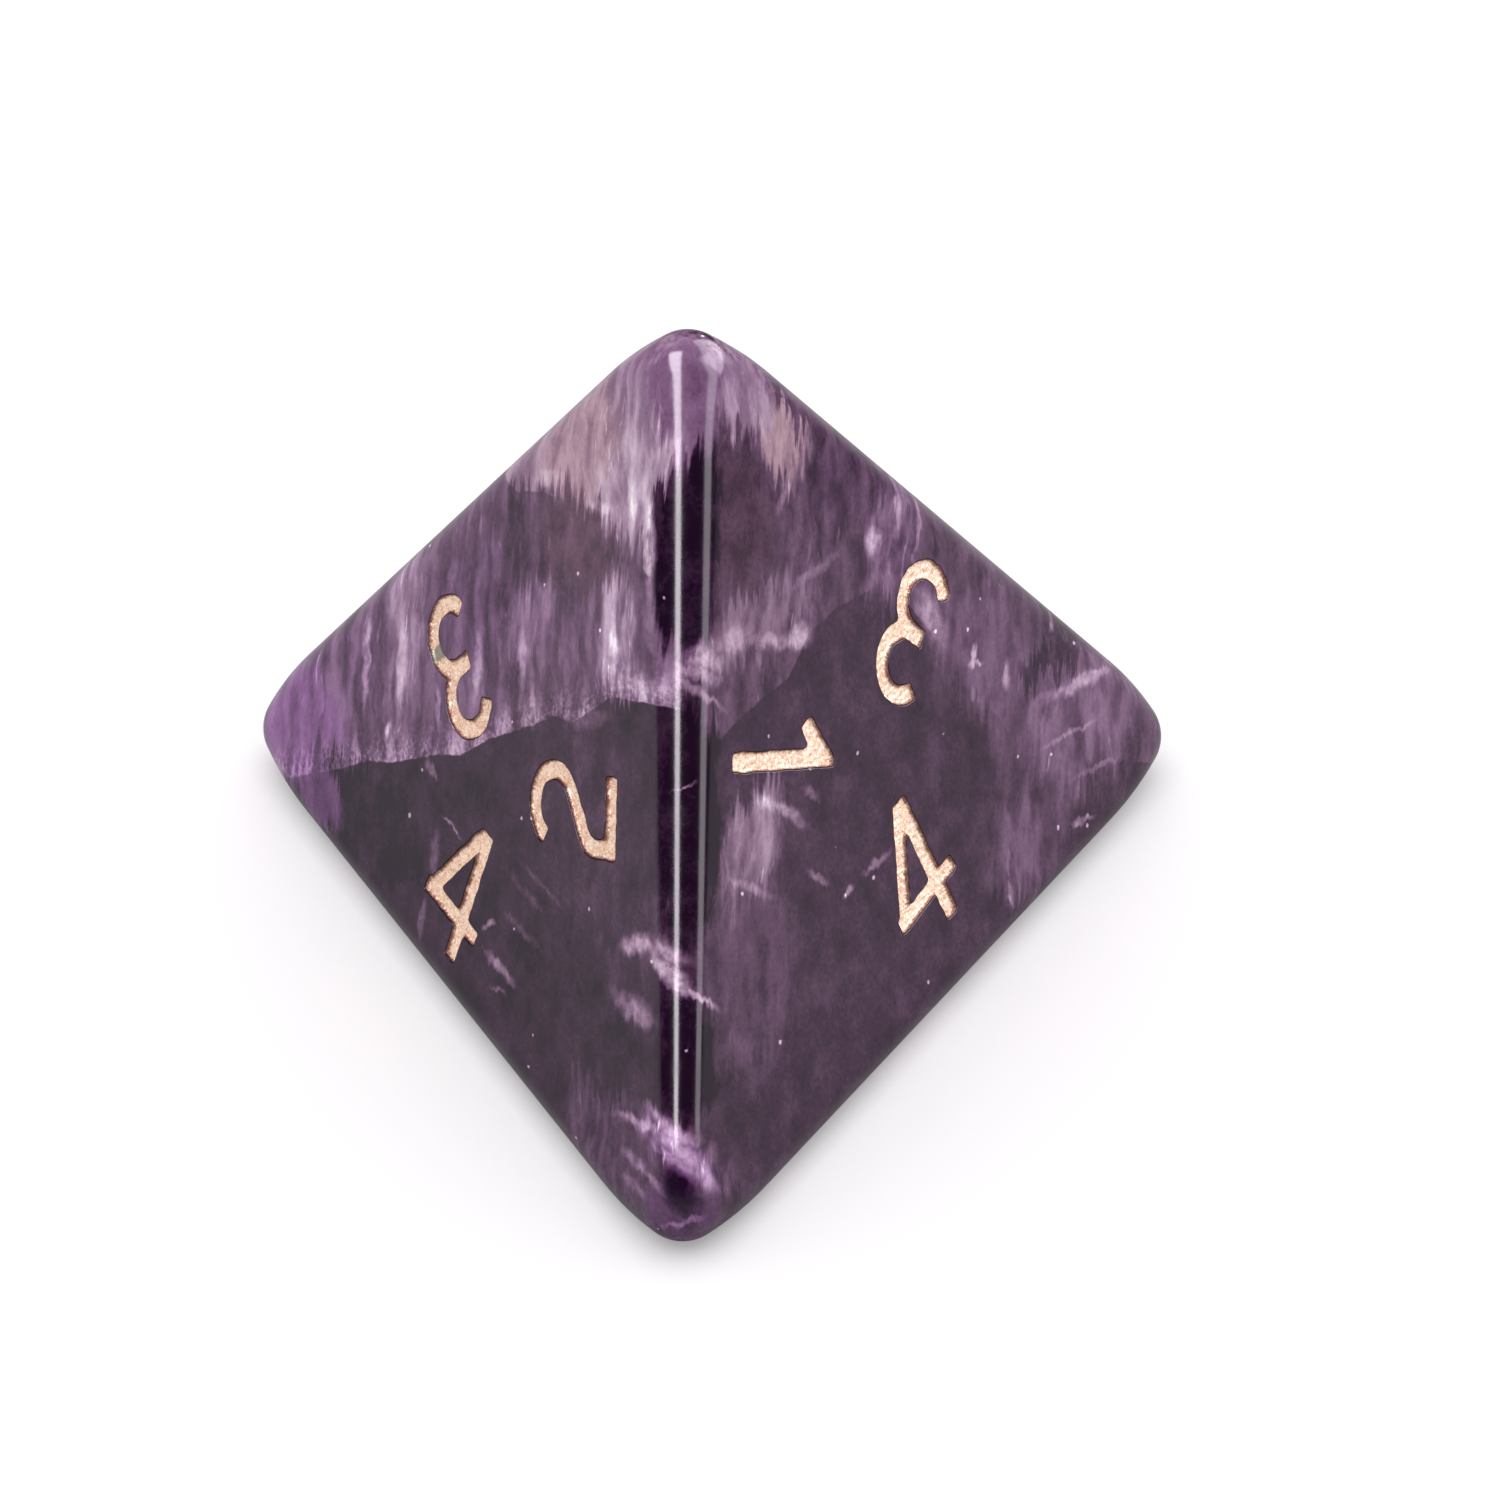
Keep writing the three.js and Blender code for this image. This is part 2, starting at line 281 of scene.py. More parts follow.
class Figure:
    """One engraved numeral: a field of distances to its outline on the face's plane."""

    def __init__(self, node, face, seed):
        self.face = face
        flat = flattened(self.top_triangles(node, face), face)
        self.low = flat.reshape(-1, 2).min(0) - FIELD_MARGIN
        high = flat.reshape(-1, 2).max(0) + FIELD_MARGIN
        self.shape = tuple(np.ceil((high - self.low) / GRID).astype(int) + 1)
        self.field = self.smooth(self.distances(flat) - FILL_INSET, OUTLINE_BLUR)
        random = np.random.default_rng(seed)
        wobble = self.smooth(random.standard_normal(self.shape), WOBBLE_LENGTH)
        self.field += wobble * OUTLINE_WOBBLE / wobble.std()
        self.outlines = [self.resampled(loop) for loop in self.contours()]

    @staticmethod
    def top_triangles(node, face):
        """Triangles of the fill's upper surface, in millimetres."""
        mesh = frame["nodes"][node].data
        mesh.calc_loop_triangles()
        points = np.array([vertex.co for vertex in mesh.vertices]) / MM
        triangles = points[[list(t.vertices) for t in mesh.loop_triangles]]
        heights = triangles @ FACES[face][0]
        return triangles[heights.min(1) > heights.max() - 1e-3]

    def distances(self, triangles):
        """Signed distance to the union of the triangles, negative inside, at each node
        of the field."""
        x = self.low[0] + GRID * np.arange(self.shape[0])
        y = self.low[1] + GRID * np.arange(self.shape[1])
        place = np.stack(np.meshgrid(x, y, indexing="ij"), -1)
        inside = np.zeros(self.shape, bool)
        found = {}
        for triangle in triangles:
            signs = []
            for k in range(3):
                a, b = triangle[k], triangle[(k + 1) % 3]
                signs.append((b - a)[0] * (place - a)[..., 1] - (b - a)[1] * (place - a)[..., 0])
                key = tuple(sorted((tuple(np.round(a, 3)), tuple(np.round(b, 3)))))
                found.setdefault(key, []).append((a, b))
            signs = np.stack(signs)
            inside |= (signs >= -1e-9).all(0) | (signs <= 1e-9).all(0)
        nearest = np.full(self.shape, np.inf)
        for sides in found.values():
            if len(sides) > 1:
                continue  # two triangles share this side, so it isn't on the outline
            a, b = sides[0]
            span = b - a
            share = np.clip(((place - a) @ span) / (span @ span), 0, 1)
            gap = place - a - share[..., None] * span
            nearest = np.minimum(nearest, np.hypot(gap[..., 0], gap[..., 1]))
        return np.where(inside, -nearest, nearest)

    @staticmethod
    def smooth(field, width):
        """Gaussian blur of a field, width in millimetres."""
        reach = int(math.ceil(3 * width / GRID))
        kernel = np.exp(-0.5 * (np.arange(-reach, reach + 1) * GRID / width) ** 2)
        kernel /= kernel.sum()
        for axis in (0, 1):
            pads = [(reach, reach) if k == axis else (0, 0) for k in (0, 1)]
            padded = np.pad(field, pads, mode="edge")
            field = np.apply_along_axis(lambda row: np.convolve(row, kernel, "valid"), axis, padded)
        return field

    def contours(self):
        """Closed loops where the field crosses zero. A crossing is named by the two
        nodes of the field on either side of it."""
        field, links = self.field, {}
        inside = field < 0
        corners = ((0, 0), (1, 0), (1, 1), (0, 1))
        mixed = inside[:-1, :-1].astype(int) + inside[1:, :-1] + inside[1:, 1:] + inside[:-1, 1:]
        for i, j in np.argwhere((mixed > 0) & (mixed < 4)):
            crossings = []
            for k in range(4):
                p = (i + corners[k][0], j + corners[k][1])
                q = (i + corners[(k + 1) % 4][0], j + corners[(k + 1) % 4][1])
                if inside[p] != inside[q]:
                    crossings.append((min(p, q), max(p, q)))
            pairs = [crossings[:2], crossings[2:]] if len(crossings) == 4 else [crossings]
            for a, b in pairs:
                links.setdefault(a, []).append(b)
                links.setdefault(b, []).append(a)
        loops, left = [], set(links)
        while left:
            start = min(left)
            walk, here, before = [], start, None
            while here in left:
                left.discard(here)
                p, q = here
                share = field[p] / (field[p] - field[q])
                walk.append(self.low + GRID * (np.array(p) + share * (np.array(q) - np.array(p))))
                ahead = [key for key in links[here] if key != before and key in left]
                before, here = here, ahead[0] if ahead else start
            if len(walk) > 20:  # shorter ones are specks
                loops.append(np.array(walk))
        return loops

    @staticmethod
    def resampled(loop):
        """Evenly spaced points along a loop."""
        closed = np.vstack([loop, loop[:1]])
        length = np.concatenate([[0], np.cumsum(np.linalg.norm(np.diff(closed, axis=0), axis=1))])
        count = max(12, int(length[-1] / OUTLINE_STEP))
        marks = np.linspace(0, length[-1], count, endpoint=False)
        return np.stack([np.interp(marks, length, closed[:, k]) for k in (0, 1)], 1)

    def value(self, places):
        """The field at points of the face's plane, positive outside the numeral."""
        cell = np.clip((places - self.low) / GRID, 0, np.array(self.shape) - 1.001)
        whole = cell.astype(int)
        part = cell - whole
        i, j = whole[:, 0], whole[:, 1]
        s, t = part[:, 0], part[:, 1]
        f = self.field
        low = f[i, j] * (1 - s) + f[i + 1, j] * s
        high = f[i, j + 1] * (1 - s) + f[i + 1, j + 1] * s
        return low * (1 - t) + high * t

    def outward(self, places):
        """Direction in which the field rises, away from the numeral."""
        steps = GRID * np.eye(2)
        rise = np.stack([self.value(places + step) - self.value(places - step) for step in steps], 1)
        return rise / np.linalg.norm(rise, axis=1, keepdims=True)

    def lift(self, places, heights):
        """From the face's plane to space. heights may be one number for all places."""
        centre, right, up, out = AXES[self.face]
        flat = centre + places[:, :1] * right + places[:, 1:] * up
        return flat + np.reshape(heights, (-1, 1)) * out


def read_figures():
    figures = {}
    for index, node in enumerate(sorted(frame["nodes"])):
        if node.startswith("paint_face"):
            face = int(node[len("paint_face")])
            figures[node] = Figure(node, face, seed=40 + index)
    return figures


FIGURES = read_figures()


# ---- The stone ----


def add_edges(builder, bands):
    for band in bands.values():
        points = np.concatenate([arc["points"] for arc in band])
        normals = np.concatenate([arc["normals"] for arc in band])
        triangles = strip(len(band), ARC_STEPS + 1)
        builder.add(points, normals, facing(points, normals, triangles))


def add_corner(builder, bands, corner):
    """The ball at a corner: rows of points between two end arcs, closing on the third."""
    ends = [band[0] if key[0] == corner else band[-1] for key, band in bands.items() if corner in key]

    def arc_between(first, second):
        end = next(arc for arc in ends if first in arc["faces"] and second in arc["faces"])
        return end["points"] if end["faces"][0] == first else end["points"][::-1]

    f0, f1, f2 = [face for face in FACES if face != corner]
    left, right, last = arc_between(f0, f1), arc_between(f0, f2), arc_between(f1, f2)
    centre = ends[0]["centre"]
    points, rows = [], []
    for m in range(ARC_STEPS + 1):
        row = []
        for n in range(m + 1):
            if n == 0:
                point = left[m]
            elif n == m:
                point = right[m]
            elif m == ARC_STEPS:
                point = last[n]
            else:
                chord = left[m] + (right[m] - left[m]) * n / m
                closing = last[n] - (last[0] + (last[-1] - last[0]) * n / ARC_STEPS)
                point = centre + CORNER_RADIUS * unit(chord + closing * (m / ARC_STEPS) ** 3 - centre)
            row.append(len(points))
            points.append(point)
        rows.append(row)
    triangles = []
    for m in range(ARC_STEPS):
        for n in range(m + 1):
            triangles.append((rows[m][n], rows[m + 1][n], rows[m + 1][n + 1]))
            if n < m:
                triangles.append((rows[m][n], rows[m + 1][n + 1], rows[m][n + 1]))
    points = np.array(points)
    normals = (points - centre) / CORNER_RADIUS
    builder.add(points, normals, facing(points, normals, triangles))


def face_rim(bands, face):
    """The flat face's outline: the ends of the arcs that reach it, in order round it."""
    points = []
    for band in bands.values():
        if face in band[0]["faces"]:
            index = 0 if band[0]["faces"][0] == face else -1
            points += [arc["points"][index] for arc in band]
    points = np.array(points)
    x, y = flattened(points, face).T
    points = points[np.argsort(np.arctan2(y, x))]
    apart = np.linalg.norm(points - np.roll(points, 1, axis=0), axis=1) > 1e-4
    return points[apart]


def add_face(builder, bands, face):
    """A flat face with its engraving: the face round the numerals, a small lip, the
    groove's walls and its floor."""
    out = AXES[face][3]
    rim = face_rim(bands, face)
    figures = [figure for figure in FIGURES.values() if figure.face == face]
    flat, lifted = [flattened(rim, face)], [rim]
    for figure in figures:
        for loop in figure.outlines:
            flat.append(loop + figure.outward(loop) * LIP)
            lifted.append(figure.lift(flat[-1], 0.0))
    points = np.concatenate(lifted)
    builder.add(points, np.tile(out, (len(points), 1)), triangulate(flat))
    for figure in figures:
        for loop in figure.outlines:
            add_wall(builder, figure, loop)
        points = figure.lift(np.concatenate(figure.outlines), -GROOVE_DEPTH)
        builder.add(points, np.tile(out, (len(points), 1)), triangulate(figure.outlines))


def add_wall(builder, figure, loop):
    """The lip, a quarter round, and the wall below it."""
    _, right, up, out = AXES[figure.face]
    away = figure.outward(loop)
    outward = away[:, :1] * right + away[:, 1:] * up
    rows, row_normals = [], []
    for angle in np.linspace(0, math.pi / 2, LIP_STEPS + 1):
        shift = LIP * (1 - math.sin(angle))
        height = -LIP * (1 - math.cos(angle))
        rows.append(figure.lift(loop + away * shift, height))
        row_normals.append(math.cos(angle) * out - math.sin(angle) * outward)
    rows.append(figure.lift(loop, -GROOVE_DEPTH))
    row_normals.append(-outward)
    points, normals = np.concatenate(rows), np.concatenate(row_normals)
    triangles = strip(len(rows), len(loop), closed=True)
    builder.add(points, normals, facing(points, normals, triangles))


def make_stone():
    bands = {(a, b): edge_band(a, b) for a in CORNERS for b in CORNERS if a < b}
    builder = Builder()
    add_edges(builder, bands)
    for corner in CORNERS:
        add_corner(builder, bands, corner)
    for face in FACES:
        add_face(builder, bands, face)
    points, normals, triangles = builder.joined()
    mesh = make_mesh("amethyst_stone", points, triangles, len(triangles))
    mesh.normals_split_custom_set_from_vertices(normals.tolist())
    return link("amethyst_stone", mesh)


def make_mesh(name, points, triangles, smooth_count):
    """A mesh from points in millimetres. Its first smooth_count triangles are smooth."""
    mesh = bpy.data.meshes.new(name)
    mesh.from_pydata((points * MM).tolist(), [], triangles.tolist())
    mesh.polygons.foreach_set("use_smooth", np.arange(len(triangles)) < smooth_count)
    mesh.update()
    return mesh


def link(name, data):
    piece = bpy.data.objects.new(name, data)
    bpy.context.scene.collection.objects.link(piece)
    return piece


# ---- The paint ----


def paint_height(figure, places, seed):
    """Height of the paint's surface: it clings to the walls, sags between them, and
    carries the ripple of the cutter across the stroke and a fine grain."""
    inward = -figure.value(places)
    settled = np.clip(inward / PAINT_WIDTH, 0, 1)
    height = PAINT_RIM - PAINT_SAG * settled**0.8 * (2 - settled)
    random = np.random.default_rng(seed)
    ripple = np.zeros(len(places))
    for _ in range(RIPPLES):
        angle = random.uniform(0, math.pi)
        pitch = random.uniform(*RIPPLE_LENGTHS)
        phase = random.uniform(0, 2 * math.pi)
        along = places @ np.array([math.cos(angle), math.sin(angle)])
        ripple += np.sin(2 * math.pi * along / pitch + phase)
    grain = random.standard_normal(len(places))
    fade = np.clip(inward / RIPPLE_FADE, 0, 1)
    return height + fade * (RIPPLE_HEIGHT * ripple + GRAIN_HEIGHT * grain)


def paint_grid(figure, seed):
    """Points inside a numeral, on a triangular grid that is shaken a little."""
    low = figure.low + GRID
    high = figure.low + GRID * (np.array(figure.shape) - 2)
    x = np.arange(low[0], high[0], PAINT_GRID)
    y = np.arange(low[1], high[1], PAINT_GRID * math.sqrt(3) / 2)
    grid_x, grid_y = np.meshgrid(x, y)
    grid_x = grid_x + (np.arange(len(y)) % 2)[:, None] * PAINT_GRID / 2
    inner = np.stack([grid_x.ravel(), grid_y.ravel()], 1)
    random = np.random.default_rng(seed)
    inner += random.uniform(-GRID_JITTER, GRID_JITTER, inner.shape) * PAINT_GRID
    return inner[figure.value(inner) < -GRID_CLEARANCE]


def make_paint(node, figure, seed):
    """The paint in one numeral: a closed solid that fills its groove."""
    inner = paint_grid(figure, seed)
    outlines = [loop - figure.outward(loop) * PAINT_GAP for loop in figure.outlines]
    edge = np.concatenate(outlines)
    top = np.concatenate([edge, inner])
    heights = paint_height(figure, top, seed)
    heights[: len(edge)] = PAINT_RIM
    points = np.concatenate([figure.lift(top, heights), figure.lift(edge, PAINT_BOTTOM)])
    top_triangles = triangulate(outlines, inner)
    base_triangles = triangulate(outlines)[:, ::-1] + len(top)

    # The sides, from the top's edge down to the base
    sides, start = [], 0
    for loop in outlines:
        count = len(loop)
        for i in range(count):
            a, b = start + i, start + (i + 1) % count
            c, d = a + len(top), b + len(top)
            sides += [(a, c, d), (a, d, b)]
        start += count
    _, right, up, _ = AXES[figure.face]
    away = figure.outward(edge)
    outward = np.zeros_like(points)
    outward[: len(edge)] = away[:, :1] * right + away[:, 1:] * up
    outward[len(top) :] = outward[: len(edge)]
    sides = facing(points, outward, sides)

    triangles = np.concatenate([top_triangles, base_triangles, sides])
    mesh = make_mesh(node + "_fill", points, triangles, len(top_triangles))
    inward = np.zeros(len(points), np.float32)
    inward[: len(top)] = np.clip(-figure.value(top), 0, None)
    mesh.attributes.new("wall_distance", "FLOAT", "POINT").data.foreach_set("value", inward)
    return link("rose_gold_" + node.removeprefix("paint_"), mesh)


# ---- Material helpers ----


class Graph:
    """Short names for making and joining the nodes of a material or a world."""

    def __init__(self, owner):
        owner.use_nodes = True
        self.owner = owner
        self.nodes = owner.node_tree.nodes

    def find(self, kind):
        return next(node for node in self.nodes if node.type == kind)

    def put(self, socket, value):
        if isinstance(value, bpy.types.NodeSocket):
            self.owner.node_tree.links.new(value, socket)
        elif value is not None:
            socket.default_value = value

    def node(self, kind, *values, **settings):
        """A new node with its first inputs set, in order, where a value isn't None."""
        node = self.nodes.new("ShaderNode" + kind)
        for name, value in settings.items():
            setattr(node, name, value)
        for socket, value in zip(node.inputs, values):
            self.put(socket, value)
        return node

    def math(self, operation, *values):
        return self.node("Math", *values, operation=operation).outputs[0]

    def vector(self, operation, a, b=None, scale=None):
        node = self.node("VectorMath", a, b, None, scale, operation=operation)
        return node.outputs["Value"] if operation in ("DOT_PRODUCT", "LENGTH") else node.outputs[0]

    def millimetres(self):
        """A piece's own coordinates, in millimetres."""
        return self.vector("SCALE", self.node("TexCoord").outputs["Object"], scale=1 / MM)

    def ramp(self, value, low, high, to_low=0.0, to_high=1.0, smooth=True):
        """value mapped from low..high to to_low..to_high, and held beyond them."""
        shape = "SMOOTHSTEP" if smooth else "LINEAR"
        values = (value, low, high, to_low, to_high)
        return self.node("MapRange", *values, interpolation_type=shape).outputs[0]

    def noise(self, vector, scale, detail, rough=0.55, colour=False):
        node = self.node("TexNoise", vector, None, scale, detail, rough)
        return node.outputs["Color" if colour else "Fac"]

    def mix(self, share, a, b):
        unused = [None] * 5  # the inputs for mixing numbers and vectors
        return self.node("Mix", share, *unused, a, b, data_type="RGBA").outputs[2]

    def place(self, vector, location, rotation, scale):
        """vector in the axes of a box: 1 long from its middle to each side."""
        values = (vector, location, rotation, scale)
        return self.node("Mapping", *values, vector_type="TEXTURE").outputs[0]

    def stretched(self, vector, direction, across, length):
        """vector squeezed so that noise is long along direction and fine across it."""
        turn = Vector((1, 0, 0)).rotation_difference(Vector(direction)).to_euler()
        return self.place(vector, (0, 0, 0), turn, (length, across, across))


def rgb(*values):
    """A colour given as 0-255 screen values, as linear RGBA."""
    linear = []
    for value in values:
        share = value / 255
        linear.append(share / 12.92 if share <= 0.04045 else ((share + 0.055) / 1.055) ** 2.4)
    return (*linear, 1.0)


# ---- Stone material ----

# The stone is described by three numbers at each place: how pale it is, how strongly
# its fibres show, and its tint (0 brown, 0.5 grey purple, 1 violet). Zones blend one
# such recipe into the next.
GROUND = (0.05, 0.0, 0.5)
UNSEEN = (0.32, 0.16, 0.62)  # what the ground drifts into on the unseen sides
FIBRE = (0.09, 0.55, 0.83)  # direction in which the crystal's fibres grew

# Colour of the stone from its deepest to its palest places, and what its tint does to it
SHADES = {
    0.0: (0.012, 0.002, 0.013, 1),
    0.10: (0.046, 0.017, 0.044, 1),
    0.25: (0.129, 0.063, 0.123, 1),
    0.44: (0.267, 0.158, 0.253, 1),
    0.62: (0.442, 0.304, 0.414, 1),
    0.81: (0.635, 0.497, 0.607, 1),
    1.0: (0.92, 0.84, 0.92, 1),
}
VIOLET = (0.98, 0.66, 1.20)
BROWN = (1.07, 1.0, 0.86)


def on_face(face, x, y):
    """A place on a face with its axes there; x and y in millimetres from its centre."""
    centre, right, up, out = AXES[face]
    return centre + x * right + y * up, right, up, out


def on_front_edge(down, turn):
    """A place on the rounded edge between faces 1 and 2: down from the sharp apex, and
    turn in degrees round the edge towards face 2."""
    arc = edge_arc(*FRONT_EDGE, SHARP_EDGE - down)
    along = unit(APEX - FRONT)
    outward = unit((APEX + FRONT) / 2 - CENTRE)
    sideways = np.cross(along, outward)
    angle = math.radians(turn)
    out = math.cos(angle) * outward + math.sin(angle) * sideways
    return arc["centre"] + arc["radius"] * out, np.cross(along, out), along, out


SPOTS = {
    "face 1": lambda x, y: on_face(1, x, y),
    "face 2": lambda x, y: on_face(2, x, y),
    "front edge": on_front_edge,
}


def placed(spot, rows):
    """Rows with their first two numbers made into a place: x and y, or down and turn."""
    return [(SPOTS[spot](a, b), *rest) for a, b, *rest in rows]


# Zones: place, half length, half width, angle, recipe, softness, depth
ZONES = placed("face 1", [
    # Above the fracture
    (0.6, 8.6, 2.4, 1.5, 65, (0.6, 0.22, 0.5), 0.5, 1),
    (-1.4, 7.6, 1.6, 1.1, 60, (0.5, 0.14, 0.15), 0.5, 1),
    (-2.6, 4.3, 1.6, 1.1, 40, (0.14, 0.08, 0.6), 0.7, 1),
    (-0.3, 5.6, 1.9, 1.1, 15, (0.18, 0.06, 0.2), 0.6, 1),
    (2.7, 7.5, 1.9, 0.75, -60, (0.02, 0.04, 0.6), 0.4, 0.9),
    (0.1, 10.6, 1.5, 1.1, 60, (0.44, 0.12, 0.6), 0.6, 1.2),
    (-3.3, 2.2, 1.7, 1.2, 50, (0.22, 0.14, 0.7), 0.7, 1),
    (-1, 3, 0.9, 0.7, 60, (0.37, 0.16, 0.65), 0.7, 0.8),
    (1.9, 4.7, 1.4, 0.8, -60, (0.46, 0.3, 0.6), 0.5, 0.8),
    (-5.6, 0.2, 2, 0.7, -65, (0.46, 0.2, 0.6), 0.6, 0.8),
    (-7.2, -2.4, 1.6, 1.2, 30, (0.27, 0.16, 0.68), 0.6, 1),
    (-8, -4.3, 2, 1.4, 10, (0.36, 0.12, 0.85), 0.6, 1.3),
    # Below it
    (-4.7, -4.6, 2.3, 1, 8, (0.01, 0.02, 0.65), 0.5, 1),
    (-6.6, -5.3, 1.1, 0.7, 0, (0.24, 0.08, 0.85), 0.6, 1),
    (3, 0.6, 3.4, 1.9, -20, (0.11, 0.03, 0.4), 0.9, 1),
    (6, -0.4, 1.7, 1.6, -50, (0.11, 0.05, 0.55), 0.8, 0.8),
    (8.3, -4.9, 3, 1.2, 5, (0.18, 0.1, 0.62), 0.7, 1.2),
]) + placed("face 2", [
    (-1.4, 7.6, 1.9, 1.5, -60, (0.15, 0.03, 0.25), 0.6, 1),
    (1.1, 8, 1.3, 0.6, -70, (0.52, 0.12, 0.1), 0.6, 0.8),
    (0.4, 10, 1.3, 0.9, -60, (0.5, 0.18, 0.6), 0.6, 1),
    (2, 6.2, 1.3, 0.9, -50, (0.16, 0.1, 0.65), 0.6, 0.9),
    (-1.7, 5.1, 2, 0.75, -12, (0.31, 0.16, 0.5), 0.5, 0.8),
    (3.4, 4.2, 1.8, 1, 55, (0.27, 0.2, 0.65), 0.6, 0.8),
    (-4.4, 0.8, 1.4, 0.95, 25, (0.42, 0.2, 0.45), 0.6, 0.8),
    (-5.6, -1.6, 2, 1.6, 60, (0.18, 0.07, 0.6), 0.8, 0.9),
    (6.8, -3.2, 2.6, 1.6, -20, (0.28, 0.14, 0.62), 0.7, 1.3),
    (5, -0.3, 2.2, 1.2, -60, (0.24, 0.1, 0.62), 0.7, 1),
    (6.8, -1.6, 1.3, 0.4, -12, (0.1, 0.06, 0.6), 0.4, 0.8),
    (4.2, -4.6, 1.6, 1.2, 0, (0.24, 0.12, 0.6), 0.8, 1),
]) + placed("front edge", [
    (6.1, 17, 2.45, 0.76, 90, (0, 0.01, 0.7), 0.3, 0.8),
    (2.7, 0, 1.2, 1, 90, (0.31, 0.05, 0.68), 0.6, 0.8),
    (12.3, 16, 2.7, 0.76, 90, (0, 0.01, 0.6), 0.4, 0.8),
    (17.4, 14, 1.5, 0.78, 90, (0, 0.01, 0.6), 0.4, 0.8),
    (21, 0, 1.3, 0.7, 0, (0.17, 0.06, 0.75), 0.9, 0.8),
])

# Marks: zones with smooth outlines
MARKS = placed("front edge", [
    (19.45, -2, 1.65, 0.5, -36, (0.28, 0.3, 0.72), 0.8, 1.7),
    (20.35, 0, 0.5, 0.34, -60, (0.02, 0, 1), 0.9, 0.8),
])

# Wisps: place, half length, half width, angle, brightness. Thin pale veils and cracks.
WISPS = placed("face 1", [
    # Fibrous band
    (-6.4, -1.6, 1.2, 0.14, -65, 0.4), (-5.2, -0.7, 1.3, 0.2, -65, 0.22),
    (-2.5, 0.9, 0.95, 0.17, -70, 0.34), (-1.1, 2.1, 1, 0.16, -62, 0.24),
    (-0.3, 1.6, 0.7, 0.12, -60, 0.26), (1.9, 4.4, 0.9, 0.16, -62, 0.42),
    (2, 7.2, 1.1, 0.2, -62, 0.46), (0.9, 7.7, 0.5, 0.2, -60, 0.26),
    (-2.2, 6.2, 0.6, 0.2, 40, 0.2), (-0.2, 6.8, 0.5, 0.13, 30, 0.24),
    (1.6, 9.3, 0.8, 0.22, -62, 0.24), (-3.4, -0.8, 0.5, 0.1, -60, 0.3),
    (-4.9, -2.4, 0.3, 0.1, -80, 0.55), (-3, -2.1, 0.35, 0.14, -10, 0.3),
    # Round the four and the two
    (-1.6, -2.72, 0.5, 0.05, 2, 0.32), (-1.9, -3.6, 0.6, 0.16, -70, 0.2),
    (1.6, -4.25, 0.75, 0.13, 3, 0.34), (1.8, -4.7, 0.35, 0.06, 15, 0.28),
    (0.75, -3.7, 0.28, 0.07, 50, 0.4), (-1.6, -5.2, 0.45, 0.12, -75, 0.26),
    (1.6, -2.2, 0.9, 0.1, 3, 0.12), (1.9, -3, 0.8, 0.1, 5, 0.14),
    (2, -1.7, 1, 0.07, 4, 0.1), (1.8, 2.6, 0.9, 0.22, 35, 0.16),
    (3.4, 4.5, 1, 0.25, 28, 0.22), (3.3, 5.5, 1, 0.3, -35, 0.16),
    (6, -0.55, 0.8, 0.22, 38, 0.48), (6.9, -0.15, 0.7, 0.24, 10, 0.45),
    (6.6, -1.85, 0.95, 0.28, 14, 0.34), (8, -3.9, 1, 0.14, 22, 0.4),
    (8.3, -4.7, 0.6, 0.16, 12, 0.26), (8.6, -5.2, 0.5, 0.1, 10, 0.2),
]) + placed("face 2", [
    (2.65, 4.3, 0.42, 0.26, 50, 0.5), (-0.6, 3.95, 0.55, 0.26, -25, 0.44),
    (-1.4, 4.4, 1.1, 0.16, -35, 0.3), (-2.6, 5.2, 0.8, 0.3, -20, 0.25),
    (0.6, 4.9, 1, 0.12, -8, 0.2), (0.5, 7, 0.5, 0.16, 35, 0.22),
    (3.6, 1.7, 0.95, 0.34, -78, 0.3), (3.9, 4.6, 1, 0.1, 55, 0.26),
    (4.4, 3.9, 1.1, 0.06, 52, 0.26), (4, 3.5, 1.1, 0.05, 50, 0.22),
    (3.4, 3.3, 0.8, 0.05, 50, 0.2), (4.45, 0.05, 0.26, 0.1, 35, 0.6),
    (4.55, -0.1, 0.22, 0.05, -60, 0.55), (-2.8, 0.8, 0.75, 0.16, -55, 0.34),
    (-3.4, 1.5, 0.5, 0.14, -60, 0.3), (-1.9, 0.7, 0.35, 0.1, -60, 0.24),
    (-2.6, -1.05, 0.42, 0.1, -50, 0.34), (-1.85, -1.95, 0.22, 0.1, 0, 0.4),
    (-0.7, -1.95, 0.55, 0.1, -5, 0.34), (-4.7, 0.1, 0.9, 0.12, -50, 0.2),
    (7.4, -2.6, 1.5, 0.16, -18, 0.36), (6.6, -3.4, 1, 0.07, -16, 0.24),
    (7.3, -0.85, 0.28, 0.08, 40, 0.4), (5.25, -1, 0.3, 0.14, 60, 0.34),
    (6, -5.35, 0.45, 0.08, -14, 0.42), (3, -5.3, 0.35, 0.1, 78, 0.34),
    (7, -4.6, 0.9, 0.07, -18, 0.2),
]) + placed("front edge", [
    (9.1, -35, 0.9, 0.16, 24, 0.14), (8.9, 25, 0.8, 0.16, -20, 0.34),
    (8.6, 40, 0.7, 0.24, -20, 0.4), (9.4, 34, 0.9, 0.1, -32, 0.3),
    (15.5, -25, 0.8, 0.2, -40, 0.6), (16, 30, 0.85, 0.1, -28, 0.6),
    (11.4, 5, 0.35, 0.04, 24, 0.4), (18.9, -22, 1.1, 0.15, -33, 0.34),
    (19.5, -30, 0.7, 0.1, -30, 0.22), (19.4, 8, 1, 0.18, -36, 0.3),
    (19.9, 40, 0.6, 0.18, -45, 0.3), (20.1, -50, 0.5, 0.1, -40, 0.24), (21, 0, 0.5, 0.07, 15, 0.3),
])
WISP_DEPTH = 0.7  # how far a wisp reaches into the stone
